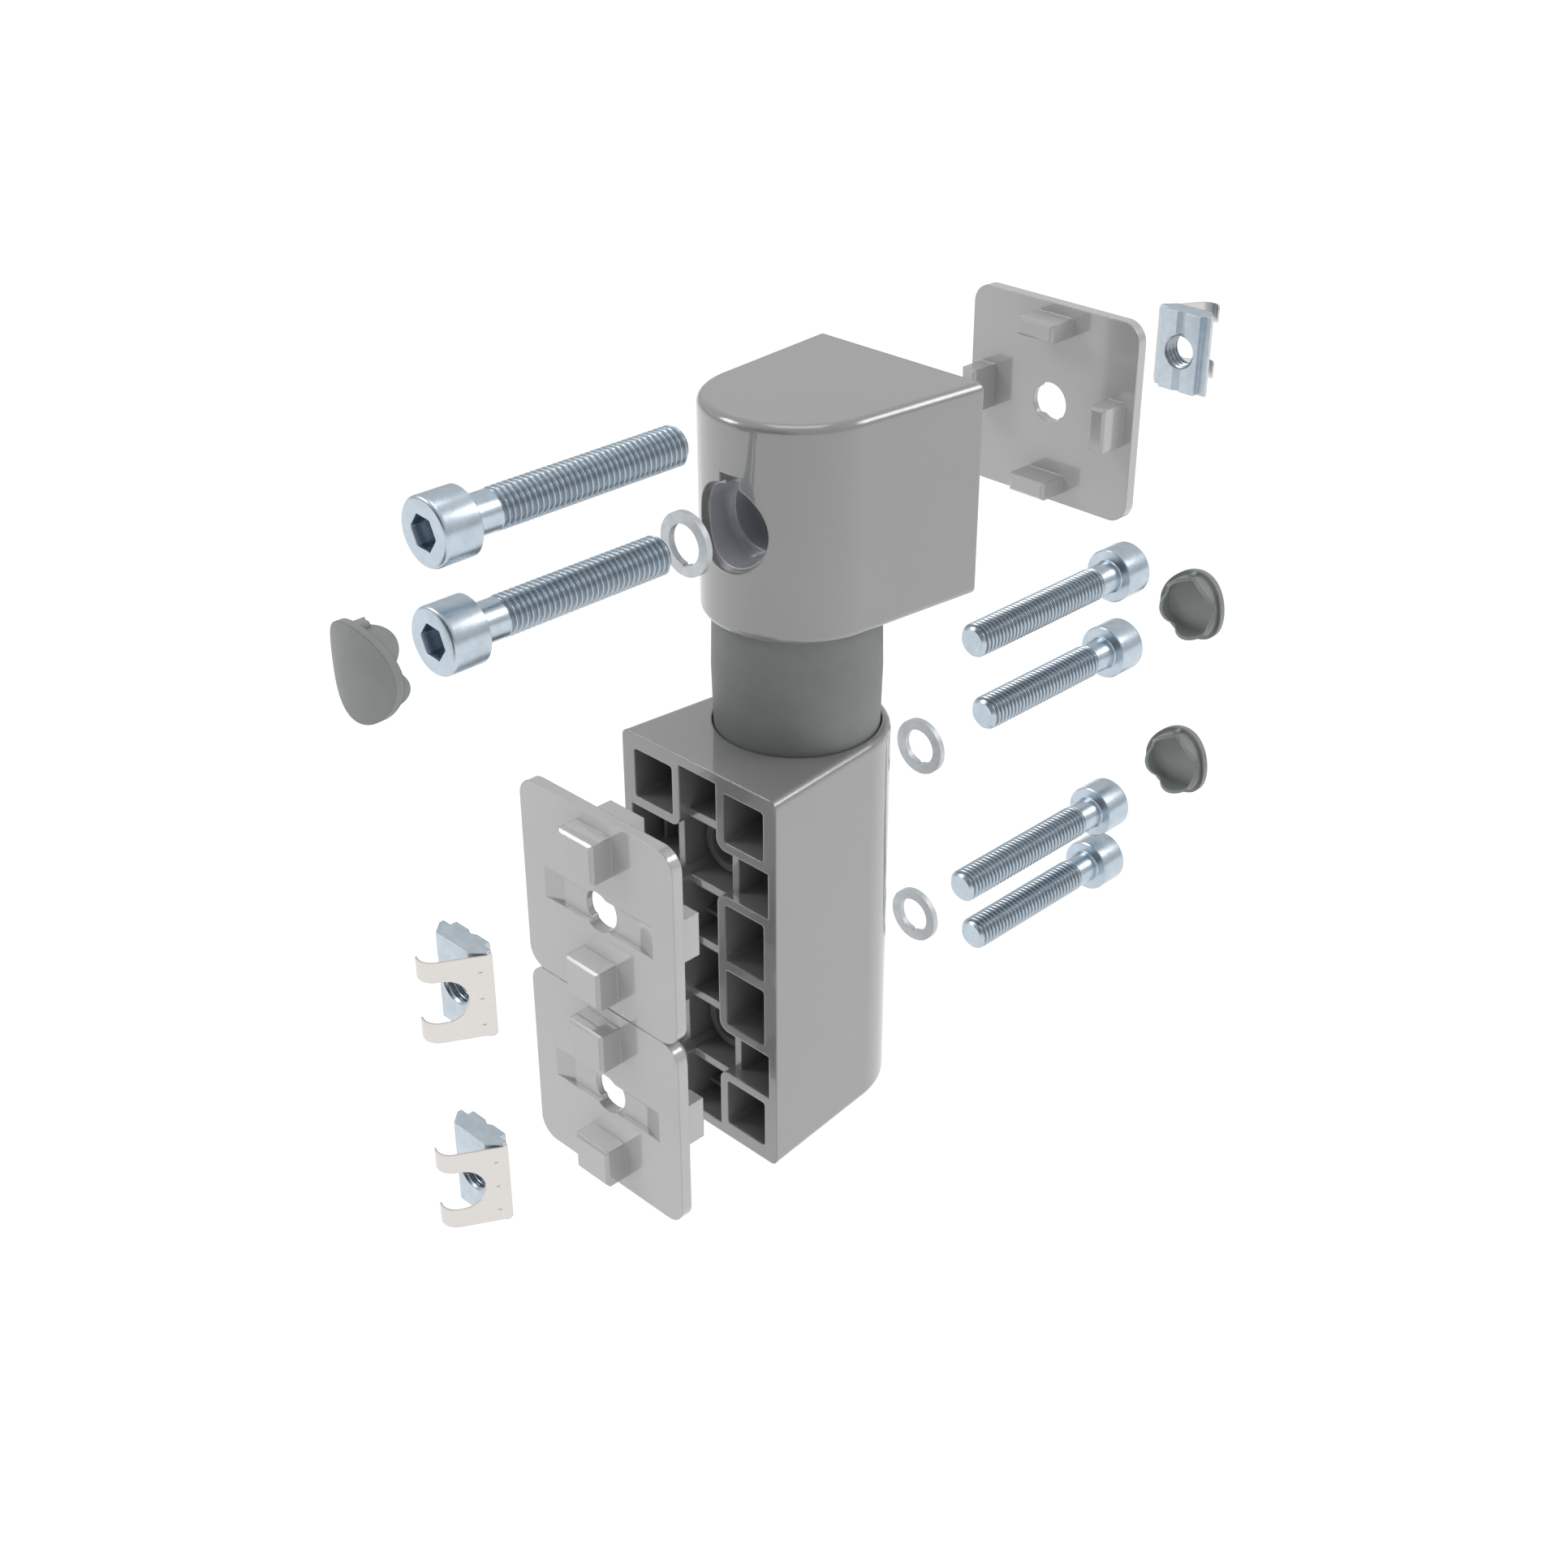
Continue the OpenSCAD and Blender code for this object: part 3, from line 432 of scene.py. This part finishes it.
def finish_of(name):
    """The material of a CAD node."""
    if name in FLAT_SIDE:
        low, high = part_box(name)
        line_z_mm = [middle_z_mm(f"{line}_screw") for line in LINES if line.split("_")[0] in name]
        return housing_coat(f"{name}_coat", FLAT_SIDE[name], low[2] / MM, high[2] / MM, line_z_mm)
    for ending, mat in ENDING_MATERIALS.items():
        if name.endswith(ending) and name.startswith(LINES):
            return mat
    return MATERIALS[SLOT_OF[name]]


def dress(obj, mat):
    """Gives an object its one material."""
    obj.data.materials.clear()
    obj.data.materials.append(mat)


def dress_nodes():
    """Materials of the CAD nodes."""
    for name, obj in frame["nodes"].items():
        dress(obj, finish_of(name))


def new_piece(name, bm, slot, body):
    """Turns a bmesh into a piece that rides on a body and takes its finish from a slot."""
    bmesh.ops.recalc_face_normals(bm, faces=bm.faces)
    mesh = bpy.data.meshes.new(name)
    bm.to_mesh(mesh)
    bm.free()
    for face in mesh.polygons:
        face.use_smooth = True
    mesh.set_sharp_from_angle(angle=math.radians(SMOOTH_ANGLE))
    obj = bpy.data.objects.new(name, mesh)
    bpy.context.scene.collection.objects.link(obj)
    dress(obj, MATERIALS[slot])
    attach(obj, body)
    return obj


def line_matrix(place_mm, sign):
    """From a screw's own space, where +Y runs from its tip to its head, to the frame."""
    turn = Matrix.Rotation(0 if sign > 0 else math.pi, 4, "Z")
    return Matrix.Translation(Vector(place_mm)) @ turn


def round_point(matrix, r, y_mm, turn):
    """Place in the frame of a point at an angle round the screw line."""
    return matrix @ Vector((r * math.cos(turn), y_mm, -r * math.sin(turn))) * MM


def ring(bm, matrix, y_mm, radius_at, count):
    """One ring of vertices round the screw line; radius_at is a radius, or gives it for an angle."""
    made = []
    for i in range(count):
        turn = TAU * i / count
        r = radius_at(turn) if callable(radius_at) else radius_at
        made.append(bm.verts.new(round_point(matrix, r, y_mm, turn)))
    return made


def bridge(bm, low, high):
    """Faces between two rings of one count."""
    count = len(low)
    for i in range(count):
        j = (i + 1) % count
        bm.faces.new((low[i], low[j], high[j], high[i]))


def stack(bm, matrix, rows, count):
    """A closed solid of rings, from rows of (distance along the line, radius)."""
    rings = [ring(bm, matrix, y, r, count) for y, r in rows]
    for low, high in zip(rings, rings[1:]):
        bridge(bm, low, high)
    bm.faces.new(rings[0])
    bm.faces.new(list(reversed(rings[-1])))
    return rings


def hexagon(turn):
    """Radius of the hexagon socket for an angle."""
    part = (turn + math.pi / 6) % (math.pi / 3) - math.pi / 6
    return SOCKET_MM / 2 / math.cos(part)


def painted_shade_layer(bm):
    """Layer of painted shade: how far a vertex lies in a recess, where the plating is painted darker."""
    return bm.verts.layers.float.get("painted_shade") or bm.verts.layers.float.new("painted_shade")


def thread_radius(phase, root, crest):
    """Radius over one pitch: a flat root, a flank, a narrow crest and a flank."""
    root_end, crest_start, crest_end, root_start = THREAD_RISE
    if phase < root_end or phase >= root_start:
        return root
    if phase < crest_start:
        return root + (crest - root) * (phase - root_end) / (crest_start - root_end)
    if phase < crest_end:
        return crest
    return crest + (root - crest) * (phase - crest_end) / (root_start - crest_end)


def thread_surface(bm, matrix, length_mm, root, crest, limit, shift_mm=0.0):
    """Right-handed helical surface from 0 to a distance along the line; its rows follow the helix.

    limit holds the radius to one value at each end, so that both ends are plain rings.
    shift_mm, from minus one pitch to 0, moves the turns along the line.
    Returns the vertices of the two end rings.
    """
    count = THREAD_COUNT
    steps = THREAD_STEPS
    rows = int(length_mm / PITCH_MM * steps) + 2 * steps + 2
    painted_shade = painted_shade_layer(bm)
    columns = []
    for i in range(count):
        column = []
        for row in range(rows):
            y = ((row - steps) / steps + i / count) * PITCH_MM + shift_mm
            inside = 0.0 < y < length_mm
            y = min(max(y, 0.0), length_mm)
            if not inside and column and abs(column[-1][0] - y) < 1e-9:
                column.append((y, column[-1][1]))
                continue
            raw = thread_radius((row % steps) / steps, root, crest)
            r = limit(y, raw)
            vert = bm.verts.new(round_point(matrix, r, y, TAU * i / count))
            # Painted shade: the thread's roots are marked darker than its crests
            vert[painted_shade] = (crest - raw) / (crest - root) if abs(r - raw) < 1e-6 else 0.0
            column.append((y, vert))
        columns.append([vert for _, vert in column])
    for i in range(count):
        here = columns[i]
        there = columns[(i + 1) % count]
        shift = 0 if i + 1 < count else steps
        for row in range(-shift, rows - 1):
            corners = []
            for line, k in ((here, row), (there, row + shift), (there, row + shift + 1), (here, row + 1)):
                vert = line[min(max(k, 0), rows - 1)]
                if vert not in corners:
                    corners.append(vert)
            if len(corners) > 2 and not bm.faces.get(corners):
                bm.faces.new(corners)
    return [line[0] for line in columns], [line[-1] for line in columns]


def screw_rows(top, under, hex_turn):
    """Rows of a screw's head and shank, from the bottom of the socket round the rim to the thread."""
    def socket(turn):
        return hexagon(turn + hex_turn)

    rows = [(top - SOCKET_DEPTH_MM - SOCKET_CONE_MM, AXIS_R_MM), (top - SOCKET_DEPTH_MM, socket),
            (top - SOCKET_EDGE_MM, socket), (top, lambda turn: socket(turn) * SOCKET_FLARE),
            (top, HEAD_FACE_R_MM)]
    for k in range(90 // RIM_STEP + 1):
        turn = math.radians(RIM_STEP * k)
        rows.append((top - HEAD_RIM_MM + HEAD_RIM_MM * math.cos(turn),
                     HEAD_R_MM - HEAD_RIM_MM + HEAD_RIM_MM * math.sin(turn)))
    rows += [(under + HEAD_BEVEL_MM, HEAD_R_MM), (under, HEAD_R_MM - HEAD_BEVEL_MM)]
    rows += [(under - down, SHANK_R_MM + wider) for down, wider in FILLET_MM]
    end = under - SHANK_MM - SHANK_END_MM
    return rows + [(under - SHANK_MM, SHANK_R_MM), (end, ROOT_R_MM), (end, AXIS_R_MM)]


def build_screw(name, sign):
    """A socket head cap screw with a real thread, in place of its CAD node and as long as its box."""
    ends = [corner[1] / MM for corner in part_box(name)]
    tip, head = ends if sign > 0 else reversed(ends)
    top = abs(head - tip)
    under = top - HEAD_H_MM + SEAT_GAP_MM
    matrix = line_matrix((0, tip, middle_z_mm(name)), sign)
    bm = bmesh.new()
    painted_shade = painted_shade_layer(bm)
    rows = screw_rows(top, under, math.radians(HEX_TURN.get(name, 0.0)))
    rings = stack(bm, matrix, rows, SCREW_COUNT)
    # Painted shade in the socket
    for vert in rings[0] + rings[1] + rings[2]:
        vert[painted_shade] = SOCKET_PAINTED_SHADE
    end = under - SHANK_MM + SHANK_END_MM

    def limit(y, r):
        return min(r, TIP_R_MM + y * TIP_SLOPE, ROOT_R_MM + (end - y) * THREAD_END_SLOPE)

    first, last = thread_surface(bm, matrix, end, ROOT_R_MM, THREAD_R_MM, limit)
    bm.faces.new(first)
    bm.faces.new(last)
    obj = new_piece(f"{name}_detailed", bm, "zinc_steel", BODY_OF[name])
    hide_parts(name)


def build_screws():
    """The screw and the spare screw of each line."""
    for line in LINES:
        for kind in ("screw", "spare_screw"):
            build_screw(f"{line}_{kind}", line_sign(line))


def travel_mm(body):
    """How far a body slides, with the bodies that carry it, from rest to its fitted place."""
    for joint in frame["joints"]:
        if joint["child"] == body and joint["type"] == "slide":
            return joint["range_m"][1] / MM + travel_mm(joint["parent"])
    return 0.0


def build_nut_threads():
    """Internal thread of each slot nut, as a sleeve in its bore, in phase with its screw when seated."""
    for line in LINES:
        name = f"{line}_slot_nut"
        sign = line_sign(line)
        nut_ends = sorted(corner[1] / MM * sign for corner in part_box(name))
        tip = min(corner[1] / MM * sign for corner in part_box(f"{line}_screw"))
        start = nut_ends[0] + SEAT_GAP_MM
        depth = nut_ends[1] - nut_ends[0] - 2 * SEAT_GAP_MM
        seated = start + travel_mm(BODY_OF[name]) - tip + travel_mm(BODY_OF[f"{line}_screw"])
        shift = -((seated - PITCH_MM / 2) % PITCH_MM)
        bm = bmesh.new()
        matrix = line_matrix((0, start * sign, middle_z_mm(name)), sign)

        def limit(y, r):
            return max(r, BORE_R_MM - min(y, depth - y) * THREAD_END_SLOPE)

        first, last = thread_surface(bm, matrix, depth, BORE_R_MM, NUT_CREST_R_MM, limit, shift)
        outer = [ring(bm, matrix, y, BORE_R_MM + THREAD_WALL_MM, THREAD_COUNT) for y in (0.0, depth)]
        bridge(bm, first, outer[0])
        bridge(bm, *outer)
        bridge(bm, outer[1], last)
        new_piece(f"{name}_thread", bm, "zinc_steel", BODY_OF[name])


def leaf_path(s_mm):
    """Point and normal of the spring leaf's middle line, in plan, at a distance along the strip.

    The tab lies below 0; then come the bend, the straight flank and the rolled end.
    """
    half = LEAF_T_MM / 2
    bend = math.radians(LEAF_BEND)
    if s_mm <= 0:
        return Vector((half, -s_mm)), Vector((1, 0))
    turn = min(s_mm / half, bend)
    point = half * Vector((math.cos(turn), -math.sin(turn)))
    rest = s_mm - half * bend
    if rest <= 0:
        return point, Vector((math.cos(turn), -math.sin(turn)))
    point += min(rest, LEAF_FLANK_MM) * Vector((-math.sin(bend), -math.cos(bend)))
    before = Vector((math.cos(bend), -math.sin(bend)))
    if rest <= LEAF_FLANK_MM:
        return point, before
    roll = LEAF_ROLL_R_MM + half
    end = bend + (rest - LEAF_FLANK_MM) / roll
    after = Vector((math.cos(end), -math.sin(end)))
    return point + roll * (after - before), after


def rounding(distance, radius):
    """How far a rounded corner stands back, at a distance from the end."""
    if distance >= radius:
        return 0.0
    return radius - math.sqrt(max(0.0, radius ** 2 - (radius - distance) ** 2))


def punch(s_mm, z_mm):
    """Depth of the half-moon punch marks that pin the leaf to the nut."""
    for middle in (-PUNCH_Z_MM, 0.0, PUNCH_Z_MM):
        if math.hypot(s_mm - PUNCH_IN_MM, z_mm - middle) < PUNCH_R_MM:
            return max(0.0, middle + PUNCH_EDGE_MM - z_mm) * PUNCH_SLOPE
    return 0.0


def leaf_rows(end_mm):
    """Distances along the strip at which the leaf's mesh has a row."""
    middle = LEAF_NOTCH_MM + LEAF_NOTCH_R_MM
    arm = end_mm - LEAF_TIP_R_MM
    rows = [-LEAF_TAB_MM + LEAF_CORNER_R_MM * (1 - math.cos(math.radians(30 * k))) for k in range(4)]
    rows += LEAF_BEND_ROWS_MM
    rows += [PUNCH_IN_MM + PUNCH_STEP_MM * k for k in range(-6, 7)]
    rows += [LEAF_NOTCH_MM - ahead for ahead in LEAF_AHEAD_MM]
    rows += [middle - LEAF_NOTCH_R_MM * math.cos(math.radians(6 * k)) for k in range(16)]
    rows += [middle + (arm - middle) * k / 8 for k in range(1, 9)]
    rows += [arm + LEAF_TIP_R_MM * math.sin(math.radians(15 * k)) for k in range(1, 7)]
    return rows


def leaf_columns():
    """Distances across half the strip at which the leaf's mesh has a column."""
    columns = [PUNCH_STEP_MM * k for k in range(7)] + LEAF_INNER_COLUMNS_MM
    columns += [PUNCH_Z_MM + PUNCH_STEP_MM * k for k in range(-6, 7)]
    return columns + LEAF_OUTER_COLUMNS_MM


def leaf_edges(s_mm, end_mm):
    """Inner and outer edge of one arm of the leaf, with its round notch and rounded corners."""
    ahead = max(0.0, LEAF_NOTCH_MM + LEAF_NOTCH_R_MM - s_mm)
    tip = rounding(end_mm - s_mm, LEAF_TIP_R_MM)
    inner = math.sqrt(max(0.0, LEAF_NOTCH_R_MM ** 2 - ahead ** 2)) + tip
    outer = LEAF_HALF_MM - tip - rounding(s_mm + LEAF_TAB_MM, LEAF_CORNER_R_MM)
    return inner, outer


def half_leaf(bm, layer, matrix, half, end_mm):
    """One face of half a leaf; the layer keeps the way in which each vertex is thickened."""
    last = None
    for s_mm in leaf_rows(end_mm):
        inner, outer = leaf_edges(s_mm, end_mm)
        here = []
        for column in leaf_columns():
            z_mm = half * (inner + (outer - inner) * column / LEAF_HALF_MM)
            point, normal = leaf_path(s_mm)
            point -= normal * (LEAF_T_MM / 2 + punch(s_mm, z_mm))
            vert = bm.verts.new(matrix @ Vector((*point, z_mm)) * MM)
            vert[layer] = matrix.to_3x3() @ Vector((*normal, 0))
            here.append(vert)
        if last:
            for i in range(len(here) - 1):
                bm.faces.new((last[i], last[i + 1], here[i + 1], here[i]))
        last = here


def build_leaves():
    """Spring leaf of each slot nut: a rolled strip with a round notch between its two arms."""
    end_mm = LEAF_T_MM / 2 * math.radians(LEAF_BEND) + LEAF_FLANK_MM
    end_mm += (LEAF_ROLL_R_MM + LEAF_T_MM / 2) * math.radians(LEAF_ROLL)
    for line in LINES:
        name = f"{line}_nut_spring"
        low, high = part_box(f"{line}_slot_nut")
        sign = line_sign(line)
        face_y = (high if sign > 0 else low)[1] / MM
        matrix = line_matrix((0, face_y, middle_z_mm(name)), sign) @ Matrix.Translation(LEAF_FOOT_MM)
        bm = bmesh.new()
        out = bm.verts.layers.float_vector.new("out")
        for half in (-1, 1):
            half_leaf(bm, out, matrix, half, end_mm)
        bmesh.ops.remove_doubles(bm, verts=bm.verts, dist=1e-6)
        bmesh.ops.recalc_face_normals(bm, faces=bm.faces)
        grown = bmesh.ops.extrude_face_region(bm, geom=bm.faces[:], use_keep_orig=True)
        for item in grown["geom"]:
            if isinstance(item, bmesh.types.BMVert):
                item.co += item[out] * LEAF_T_MM * MM
        bm.verts.layers.float_vector.remove(out)
        obj = new_piece(f"{name}_rolled", bm, SLOT_OF[name], BODY_OF[name])
        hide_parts(name)


def build_camera():
    """The photograph's camera."""
    az = math.radians(CAMERA_AZIMUTH)
    el = math.radians(CAMERA_ELEVATION)
    back = Vector((math.sin(az) * math.cos(el), -math.cos(az) * math.cos(el), math.sin(el)))
    data = bpy.data.cameras.new("camera")
    data.sensor_width = CAMERA_SENSOR_MM
    data.sensor_fit = "HORIZONTAL"
    data.lens = CAMERA_LENS_MM
    data.clip_end = 50
    camera = bpy.data.objects.new("camera", data)
    bpy.context.scene.collection.objects.link(camera)
    turn = back.to_track_quat("Z", "Y").to_matrix().to_4x4()
    roll = Matrix.Rotation(math.radians(CAMERA_ROLL), 4, "Z")
    camera.matrix_world = Matrix.Translation(Vector(CAMERA_PLACE_MM) * MM) @ turn @ roll
    bpy.context.scene.camera = camera


def area_light(name, place, aim, size, power):
    """A soft square white light; place and aim are in metres."""
    data = bpy.data.lights.new(name, "AREA")
    data.size = size
    data.energy = power
    obj = bpy.data.objects.new(name, data)
    bpy.context.scene.collection.objects.link(obj)
    obj.location = place
    obj.rotation_euler = (Vector(place) - Vector(aim)).to_track_quat("Z", "Y").to_euler()


def build_sky():
    """A grey sky that brightens overhead, with one dark side for the metal to mirror."""
    world = bpy.data.worlds.new("studio")
    bpy.context.scene.world = world
    world.use_nodes = True
    links = world.node_tree.links
    look = node(world, "ShaderNodeTexCoord").outputs["Generated"]
    place = node(world, "ShaderNodeSeparateXYZ")
    links.new(look, place.inputs[0])
    sky = ramp(world, place.outputs["Z"], (0.45, 0.455, 0.46), (0.72, 0.72, 0.72), 0.0, 0.35)
    toward = world.node_tree.nodes.new("ShaderNodeVectorMath")
    toward.operation = "DOT_PRODUCT"
    links.new(look, toward.inputs[0])
    toward.inputs[1].default_value = Vector((0.1, -0.98, 0.15)).normalized()
    dark = step_up(world, toward.outputs["Value"], 0.72, 0.93)
    background = world.node_tree.nodes["Background"]
    links.new(mixed(world, dark, sky, (0.08, 0.085, 0.09)), background.inputs["Color"])


def build_floor():
    """A plain pale floor."""
    bpy.ops.mesh.primitive_plane_add(size=FLOOR_M, location=(-1, 1, 0))
    floor = bpy.context.object
    floor.name = "floor"
    mat, shader = principled("floor_white", (0.12, 0.12, 0.12), 0.9)
    shader.inputs["Emission Color"].default_value = (1, 1, 1, 1)
    shader.inputs["Emission Strength"].default_value = 0.96
    floor.data.materials.append(mat)


def build_lights():
    """Soft boxes on both sides and overhead."""
    middle = (0, 0, 0.09)
    area_light("left_box", (-0.85, -0.7, 0.95), middle, 0.45, 3.9)
    area_light("right_box", (0.7, 0.85, 0.95), middle, 0.45, 3.9)
    area_light("top_box", (-0.1, 0.1, 1.3), middle, 0.6, 2.2)


build_camera()
build_sky()
build_floor()
build_lights()
dress_nodes()
build_screws()
build_nut_threads()
build_leaves()

bpy.context.scene.view_settings.view_transform = "Standard"
